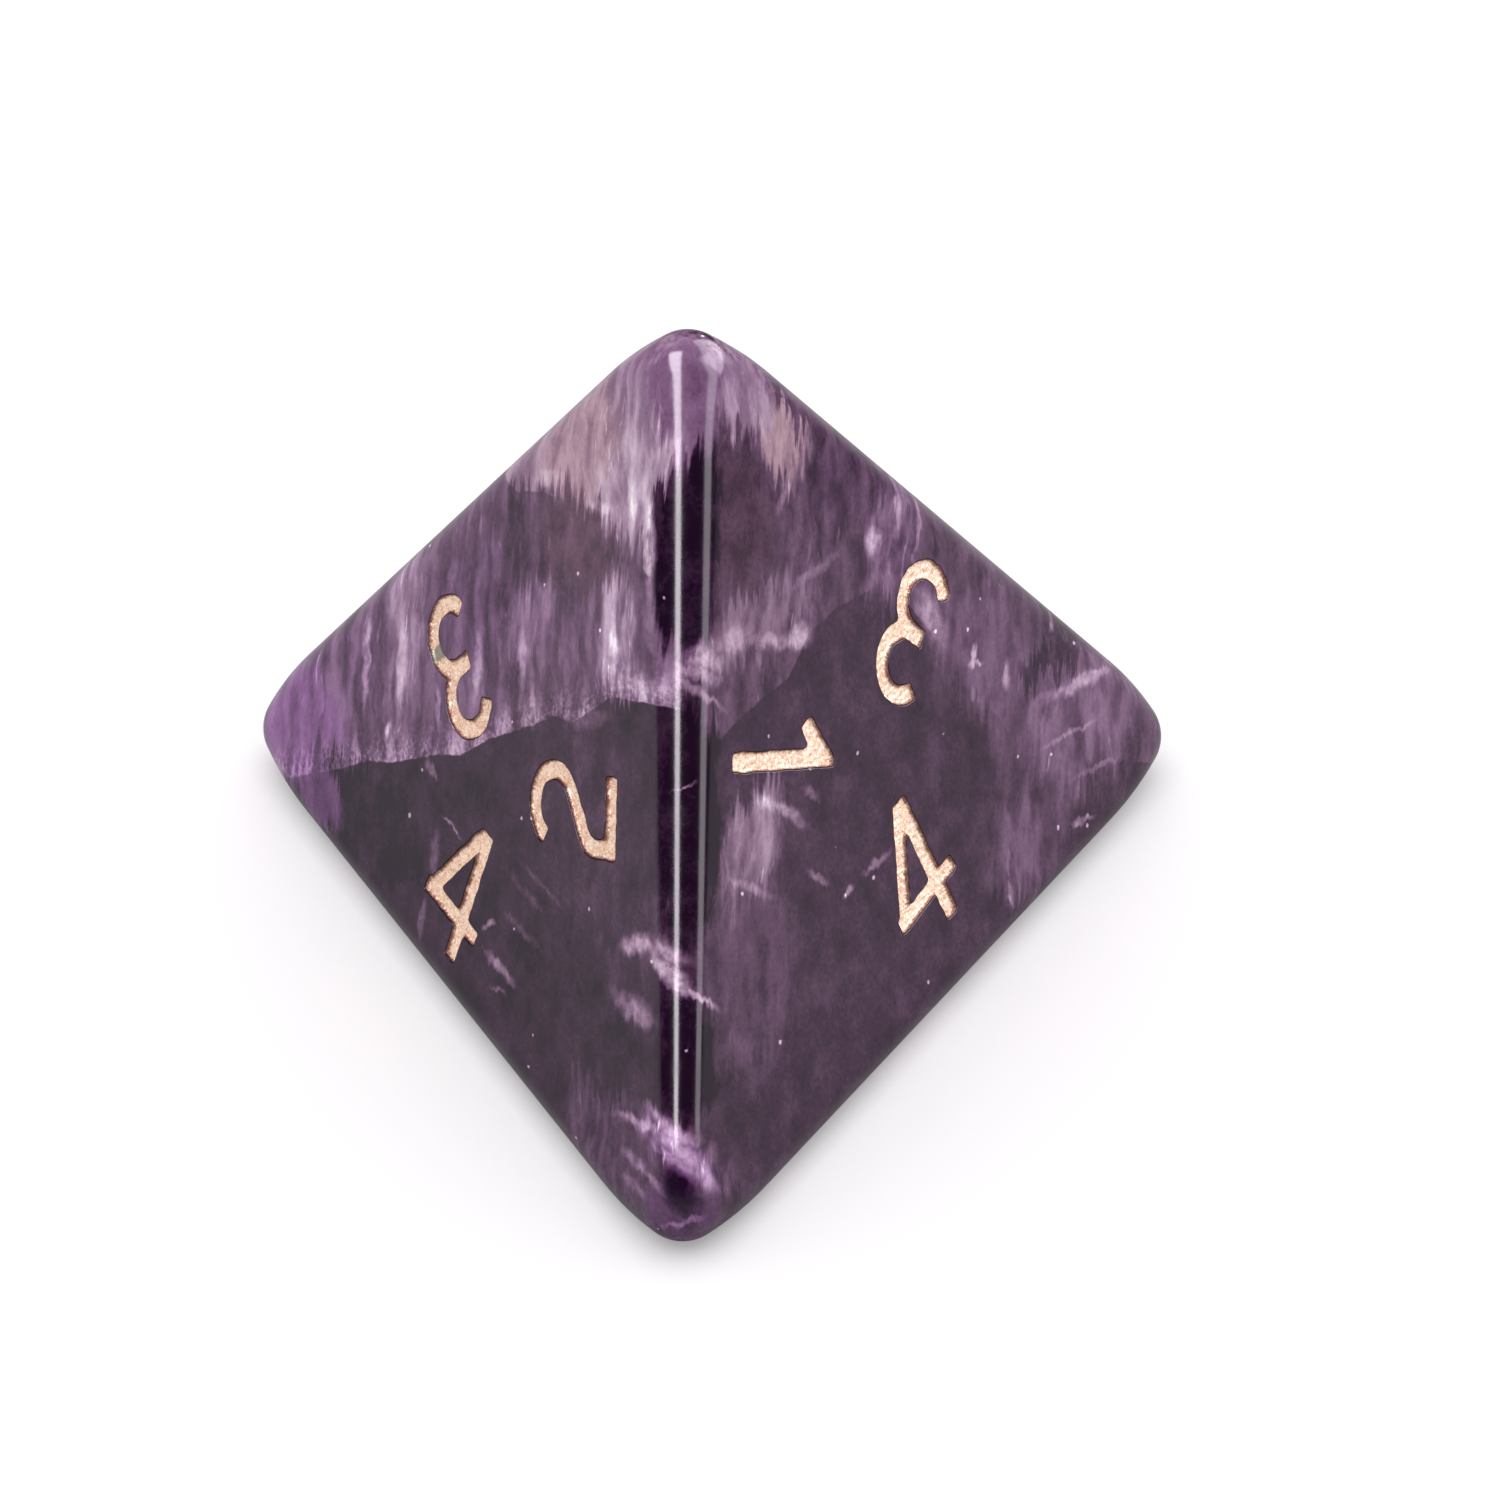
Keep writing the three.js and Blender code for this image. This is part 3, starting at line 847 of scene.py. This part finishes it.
WISP_STRETCH, WISP_SWELL = 1.15, 1.3  # a wisp's edges fade, so it is drawn larger

# Fractures: lines where the stone changes at once. Face, recipe below the line (None
# leaves what is there), recipe above it, and the line's points from x = -12 to 12 mm.
FRACTURE_SPAN = 12.0
FRACTURES = [
    (1, GROUND, (0.25, 0.13, 0.62), [
        (-12, -9), (-7.6, -5.5), (-6.4, -4.5), (-5.2, -3.4), (-4.4, -2.9), (-3, -1.72),
        (-2.1, -1.1), (-1.3, -0.1), (0, 1.15), (0.7, 1.9), (1.3, 2.1), (2.3, 3.5), (3.2, 4.0),
        (4.1, 4.5), (7, 5.6), (12, 7),
    ]),
    (1, None, (0.48, 0.13, 0.35), [
        (-12, 4.5), (-3.2, 5.2), (-2.3, 5.8), (-1.2, 6.3), (-0.4, 6.5), (0.3, 7.2), (0.9, 7.0),
        (1.5, 7.5), (2.0, 6.6), (3, 6.9), (12, 7),
    ]),
    (2, (0.10, 0.01, 0.5), (0.19, 0.10, 0.55), [
        (-12, 3.0), (-3.4, 3.6), (-1.3, 3.4), (-0.2, 3.85), (0.9, 3.75), (2.0, 3.45), (2.8, 3.3),
        (3.2, 2.0), (4.0, 0.0), (5.0, -3.0), (12, -8),
    ]),
]
FRACTURE_EDGE = 0.03  # half the width over which the stone changes
PALE_RIM = 1.1  # height of the bright band that lies above the first fracture

TURN = 15  # zones or wisps worked out at a time


def height_above(g, position, face, path):
    """Height above a fracture's path, measured up the face."""
    centre, right, up, _ = AXES[face]
    across = g.math("SUBTRACT", g.vector("DOT_PRODUCT", position, tuple(right)), float(centre @ right))
    height = g.math("SUBTRACT", g.vector("DOT_PRODUCT", position, tuple(up)), float(centre @ up))
    curve = g.node("FloatCurve")
    points = curve.mapping.curves[0].points
    share = [((x / FRACTURE_SPAN + 1) / 2, (y / FRACTURE_SPAN + 1) / 2) for x, y in path]
    points[0].location, points[1].location = share[0], share[-1]
    for x, y in share[1:-1]:
        points.new(x, y)
    for point in points:
        point.handle_type = "VECTOR"
    curve.mapping.update()
    g.put(curve.inputs["Value"], g.math("MULTIPLY_ADD", across, 0.5 / FRACTURE_SPAN, 0.5))
    line = g.math("MULTIPLY_ADD", curve.outputs[0], 2 * FRACTURE_SPAN, -FRACTURE_SPAN)
    return g.math("SUBTRACT", height, line)


def nearest_face(g, position, face):
    """1 where a place is nearer to this face than to any other, fading at the edges."""
    depths = {}
    for number, (normal, offset) in FACES.items():
        along = g.vector("DOT_PRODUCT", position, tuple(normal))
        depths[number] = g.math("SUBTRACT", along, offset)
    others = [depth for number, depth in depths.items() if number != face]
    highest = g.math("MAXIMUM", g.math("MAXIMUM", others[0], others[1]), others[2])
    return g.ramp(g.math("SUBTRACT", depths[face], highest), -0.1, 0.1)


def blob(g, position, place, length, width, angle, depth):
    """Distance from a place, 1 on the surface of an ellipsoid about it."""
    centre, right, up, out = place
    turn = math.radians(angle)
    along = math.cos(turn) * right + math.sin(turn) * up
    across = np.cross(out, along)
    rotation = Matrix((along, across, out)).transposed().to_euler()
    return g.vector("LENGTH", g.place(position, tuple(centre), rotation, (length, width, depth)))


def jittered(g, position, scale, amount, detail=2.0):
    """position pushed about by noise, by up to about amount."""
    shake = g.vector("SUBTRACT", g.noise(position, scale, detail, colour=True), (0.5, 0.5, 0.5))
    return g.vector("ADD", position, g.vector("SCALE", shake, scale=2 * amount))


def tongues(g, position, reach):
    """position pushed along the fibres, each fibre by its own amount up to about reach:
    it draws the outlines of zones out into tongues."""
    shake = g.noise(g.stretched(position, FIBRE, 0.17, 1.7), 1.0, 3, 0.6)
    push = g.math("MULTIPLY_ADD", shake, 4 * reach, -2 * reach)
    return g.vector("ADD", position, g.vector("SCALE", FIBRE, scale=push))


def in_turns(g, position, items, result, add):
    """Adds items to result in turns of a few. The renderer's shader can hold only so
    many values at once, so each turn's position waits for the turn before it: it
    carries a share of its result that is far too small to move anything."""
    for start in range(0, len(items), TURN):
        if start:
            position = g.vector("ADD", position, g.vector("SCALE", result, scale=1e-7))
        for item in items[start : start + TURN]:
            result = add(position, result, item)
    return result


def stone_material():
    g = Graph(bpy.data.materials.new("polished_amethyst"))
    shader = g.find("BSDF_PRINCIPLED")
    position = g.millimetres()
    wavy = jittered(g, position, 0.55, 0.45)
    streaks = g.noise(g.stretched(wavy, FIBRE, 0.42, 1.6), 1.0, 3, 0.5)
    hairs = g.noise(g.stretched(wavy, FIBRE, 0.17, 1.3), 1.0, 4, 0.6)
    bundles = g.ramp(g.noise(g.stretched(wavy, FIBRE, 0.8, 1.5), 1.0, 3, 0.6), 0.44, 0.62)
    cloud = g.noise(position, 1.1, 5, 0.62)
    grain = g.noise(position, 9.0, 3, 0.65)
    ragged = jittered(g, jittered(g, tongues(g, position, 0.65), 1.1, 0.40), 6.0, 0.10)
    feathered = jittered(g, jittered(g, tongues(g, position, 0.07), 2.2, 0.18), 8.0, 0.03)

    # The ground, with slow clouds that make up the pattern of the unseen sides
    drift = g.noise(position, 0.28, 3, 0.5)
    recipe = g.mix(g.ramp(drift, 0.42, 0.62), (*GROUND, 1), (*UNSEEN, 1))
    pale_rim = None
    for face, below, above, path in FRACTURES:
        height = height_above(g, jittered(g, position, 4.0, 0.05), face, path)
        side = g.ramp(height, -FRACTURE_EDGE, FRACTURE_EDGE)
        here = nearest_face(g, position, face)
        if below is not None:
            recipe = g.mix(here, recipe, (*below, 1))
        share = g.math("MULTIPLY", here, side)
        recipe = g.mix(share, recipe, (*above, 1))
        if pale_rim is None:
            pale_rim = g.math("MULTIPLY", share, g.ramp(height, PALE_RIM, 0.0))

    def add_zone(position, recipe, zone):
        place, length, width, angle, mixed, soft, depth = zone
        gap = blob(g, position, place, length, width, angle, depth)
        return g.mix(g.ramp(gap, 1 + soft / 2, 1 - soft / 2), recipe, (*mixed, 1))

    recipe = in_turns(g, ragged, ZONES, recipe, add_zone)
    recipe = in_turns(g, feathered, MARKS, recipe, add_zone)
    pale, fibrous, tint = g.node("SeparateColor", recipe).outputs

    def add_wisp(position, wisps, wisp):
        place, length, width, angle, bright = wisp
        size = (length * WISP_STRETCH, width * WISP_SWELL)
        gap = blob(g, position, place, *size, angle, WISP_DEPTH)
        return g.math("MAXIMUM", wisps, g.ramp(gap, 1.15, 0.25, 0.0, bright))

    wisps = in_turns(g, feathered, WISPS, 0.0, add_wisp)
    texture = g.noise(position, 3.2, 4, 0.65)
    wisps = g.math("MULTIPLY", wisps, g.ramp(texture, 0.35, 0.65, 0.55, 1.25, smooth=False))

    # Streaks lighten and darken, clouds and grain break up flat tone
    lift = g.math("MULTIPLY", g.ramp(streaks, 0.3, 0.70, -0.75, 0.75), fibrous)
    thread = g.math("MULTIPLY", g.math("MULTIPLY", g.ramp(hairs, 0.58, 0.74), fibrous), bundles)
    value = g.math("ADD", pale, lift)
    value = g.math("MULTIPLY_ADD", thread, 2.0, value)
    rim_noise = g.ramp(g.math("ADD", streaks, grain), 0.8, 1.3, 0.0, 0.34)
    value = g.math("MULTIPLY_ADD", pale_rim, rim_noise, value)
    for shift, depth in ((cloud, 0.06), (grain, 0.03)):
        value = g.math("ADD", value, g.ramp(shift, 0.3, 0.7, -depth, depth, smooth=False))
    value = g.math("ADD", value, wisps)

    # Painted glints: bright flecks in the colour where small cracks catch the light; the same cracks
    # also roughen and pit the surface below
    cells = g.node("TexVoronoi", jittered(g, position, 8.0, 0.05), None, 0.85)
    crack_glint = g.ramp(cells.outputs["Distance"], 0.055, 0.03)
    value = g.math("ADD", value, g.math("MULTIPLY", crack_glint, 0.6))

    shades = g.node("ValToRGB", value)
    stops = shades.color_ramp.elements
    stops[0].color = SHADES[0.0]
    stops[1].color = SHADES[1.0]
    for at, shade in SHADES.items():
        if 0 < at < 1:
            stops.new(at).color = shade
    colour = shades.outputs[0]
    violet = g.ramp(tint, 0.5, 1.0)
    brown = g.ramp(tint, 0.5, 0.0)
    colour = g.mix(violet, colour, g.vector("MULTIPLY", colour, VIOLET))
    colour = g.mix(brown, colour, g.vector("MULTIPLY", colour, BROWN))
    g.put(shader.inputs["Base Color"], colour)

    polish = g.ramp(g.noise(position, 1.7, 4, 0.6), 0.35, 0.75, 0.15, 0.20)
    g.put(shader.inputs["Roughness"], g.math("MULTIPLY_ADD", crack_glint, 0.2, polish))
    shader.inputs["IOR"].default_value = 1.5
    pits = g.math("SUBTRACT", g.noise(position, 3.0, 5, 0.6), g.math("MULTIPLY", crack_glint, 2.0))
    bump = g.node("Bump", 0.12, 0.01 * MM)
    g.put(bump.inputs["Height"], pits)
    g.put(shader.inputs["Normal"], bump.outputs[0])
    return g.owner


# Worn places of the paint: place, half length, half width, angle, colour
WEAR = placed("face 1", [
    (-4.08, 0.32, 0.42, 0.2, 60, rgb(126, 126, 110)), (-3.62, -3.95, 0.3, 0.1, -20, rgb(96, 58, 44)),
])
WEAR_DEPTH = 0.5


def paint_material():
    g = Graph(bpy.data.materials.new("rose_gold_fill"))
    shader = g.find("BSDF_PRINCIPLED")
    position = g.millimetres()
    edge = g.node("Attribute", attribute_name="wall_distance")
    grain = g.noise(position, 22.0, 3, 0.7)
    patches = g.noise(position, 5.0, 3, 0.6)
    tone = g.mix(g.ramp(patches, 0.4, 0.62), rgb(236, 188, 158), rgb(252, 220, 194))
    # Painted glints: near-white specks in the paint's colour where its grain is high
    tone = g.mix(g.ramp(grain, 0.52, 0.62), tone, rgb(255, 248, 232))
    tone = g.mix(g.ramp(grain, 0.44, 0.34, 0.0, 0.7), tone, rgb(164, 98, 68))
    # Dark brown rim along the groove's wall: partly the paint's darker, chipped edge and partly
    # painted groove shadow, made ragged by grain and patches
    wear_and_shade_jitter = g.math("MULTIPLY_ADD", g.math("ADD", grain, patches), 0.07, -0.07)
    distance = g.math("ADD", edge.outputs["Fac"], wear_and_shade_jitter)
    colour = g.mix(g.ramp(distance, 0.02, 0.085, 0.95, 0.0), tone, rgb(112, 58, 34))
    for place, length, width, angle, shade in WEAR:
        gap = blob(g, jittered(g, position, 9.0, 0.06), place, length, width, angle, WEAR_DEPTH)
        colour = g.mix(g.ramp(gap, 1.1, 0.8, 0.0, 0.85), colour, shade)
    g.put(shader.inputs["Base Color"], colour)
    shader.inputs["Metallic"].default_value = 0.25
    shader.inputs["Roughness"].default_value = 0.5
    return g.owner


# ---- Camera, floor, light ----

CAMERA_AZIMUTH = 3.331  # degrees round from the front towards the right
CAMERA_ELEVATION = 40.592
CAMERA_ROLL = -1.581
CAMERA_DISTANCE = 662.57
FRAME_WIDTH = 33.128  # width of the view at the die's centre
LOOK_RIGHT, LOOK_UP = 1.135, 0.187  # where the view's middle lies from the die's centre
CLIP_START, CLIP_END = 0.01, 20.0  # metres

FLOOR_REACH = 4.0  # metres
FLOOR_DROP = 0.00002  # metres, so that the floor and the resting face don't coincide
PAPER = (0.87, 0.86, 0.875, 1)  # what the paper is to the light that falls on the die
SEEN_PAPER = (0.67, 0.655, 0.67, 1)  # and to the camera, which sees the glow as well
REFLECTED_PAPER = 0.38  # and in reflections
PAPER_END = (75 * MM, 40 * MM)  # distances between which it fades out of reflections
GLOW = (1.0, 0.97, 0.985, 1)  # a glow that only the camera sees: it makes shadows paler
GLOW_STRENGTH = 0.24

# Soft boxes: the middles of the two short sides, each as azimuth, elevation and distance,
# then width and watts. Distances and width in metres.
SOFTBOXES = {
    "softbox_left": ((-16.8, 19.2, 1.5), (-122, 62, 0.55), 0.27, 18.5),
    "softbox_right": ((68, 2, 1.0), (108, 52, 0.6), 0.36, 4.0),
    "window": ((122, 0, 0.7), (126, 56, 0.7), 0.80, 8.0),
}
LAMP_COLOUR = (1.0, 0.93, 1.0)
OVERHEAD_STRENGTH = 1.7
OVERHEAD_SPREAD, OVERHEAD_TILT = 90, -12  # degrees
SKY_FILL = 0.8  # strength of the white surroundings as they light the scene


def spherical(azimuth, elevation):
    """Unit vector: azimuth from the front (-Y) towards +X, elevation above the floor."""
    a, e = math.radians(azimuth), math.radians(elevation)
    return Vector((math.sin(a) * math.cos(e), -math.cos(a) * math.cos(e), math.sin(e)))


def make_camera():
    data = bpy.data.cameras.new("camera")
    camera = link("camera", data)
    turn = spherical(CAMERA_AZIMUTH, CAMERA_ELEVATION).to_track_quat("Z", "Y").to_matrix()
    turn = turn @ Matrix.Rotation(math.radians(CAMERA_ROLL), 3, "Z")
    look = Vector(CENTRE) + turn.col[0] * LOOK_RIGHT + turn.col[1] * LOOK_UP
    place = look + turn.col[2] * CAMERA_DISTANCE
    camera.matrix_world = Matrix.Translation(place * MM) @ turn.to_4x4()
    data.sensor_fit = "HORIZONTAL"
    data.angle = 2 * math.atan(FRAME_WIDTH / 2 / CAMERA_DISTANCE)
    data.clip_start, data.clip_end = CLIP_START, CLIP_END
    bpy.context.scene.camera = camera


def make_floor():
    """White paper. It has one tone for the camera, one for the light it throws back and
    one for reflections, in which it fades out not far from the die."""
    mesh = bpy.data.meshes.new("floor")
    corners = [(x * FLOOR_REACH, y * FLOOR_REACH, 0) for x, y in ((-1, -1), (1, -1), (1, 1), (-1, 1))]
    mesh.from_pydata(corners, [], [(0, 1, 2, 3)])
    floor = link("floor", mesh)
    g = Graph(bpy.data.materials.new("floor_paper"))
    g.nodes.remove(g.find("BSDF_PRINCIPLED"))
    away = g.vector("LENGTH", g.node("TexCoord").outputs["Object"])
    rays = g.node("LightPath").outputs
    tone = g.mix(rays["Is Glossy Ray"], PAPER, g.ramp(away, *PAPER_END, 0.0, REFLECTED_PAPER))
    tone = g.mix(rays["Is Camera Ray"], tone, SEEN_PAPER)
    strength = g.math("MULTIPLY", rays["Is Camera Ray"], GLOW_STRENGTH)
    paper, glow = g.node("BsdfDiffuse", tone), g.node("Emission", GLOW, strength)
    both = g.node("AddShader", paper.outputs[0], glow.outputs[0])
    g.put(g.find("OUTPUT_MATERIAL").inputs["Surface"], both.outputs[0])
    mesh.materials.append(g.owner)
    floor.location.z = -FLOOR_DROP


def make_softbox(name, near, far, width, watts):
    """A long rectangular lamp facing the die, from near to far."""
    centre = Vector(CENTRE) * MM
    start, end = (centre + spherical(*angles) * away for *angles, away in (near, far))
    data = bpy.data.lights.new(name, "AREA")
    data.shape = "RECTANGLE"
    data.size, data.size_y = width, (end - start).length
    data.energy = watts
    data.color = LAMP_COLOUR
    lamp = link(name, data)
    lamp.visible_diffuse = False  # it only makes highlights, and the overhead light fills
    middle = (start + end) / 2
    length = (end - start).normalized()
    behind = middle - centre
    behind = (behind - length * behind.dot(length)).normalized()
    turn = Matrix((length.cross(behind), length, behind)).transposed().to_4x4()
    lamp.matrix_world = Matrix.Translation(middle) @ turn


def make_world():
    """White surroundings, seen by the camera and by diffuse light but not reflected."""
    world = bpy.data.worlds.new("studio")
    bpy.context.scene.world = world
    g = Graph(world)
    rays = g.node("LightPath").outputs
    seen = g.math("MULTIPLY_ADD", rays["Is Diffuse Ray"], SKY_FILL, rays["Is Camera Ray"])
    background = g.find("BACKGROUND")
    g.put(background.inputs["Strength"], seen)
    background.inputs["Color"].default_value = (1, 1, 1, 1)


def make_lights():
    make_world()
    for name, shape in SOFTBOXES.items():
        make_softbox(name, *shape)
    data = bpy.data.lights.new("overhead", "SUN")
    data.energy = OVERHEAD_STRENGTH
    data.angle = math.radians(OVERHEAD_SPREAD)
    overhead = link("overhead", data)
    overhead.rotation_euler = (math.radians(OVERHEAD_TILT), 0, 0)
    overhead.visible_glossy = False
    bpy.context.scene.view_settings.view_transform = "Standard"


# ---- Assembly ----


def assemble():
    stone = make_stone()
    stone.data.materials.append(stone_material())
    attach(stone, "root")
    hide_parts("stone_body")
    paint = paint_material()
    for index, (node, figure) in enumerate(FIGURES.items()):
        fill = make_paint(node, figure, seed=700 + index)
        fill.data.materials.append(paint)
        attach(fill, "root")
        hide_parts(node)


assemble()
make_camera()
make_floor()
make_lights()
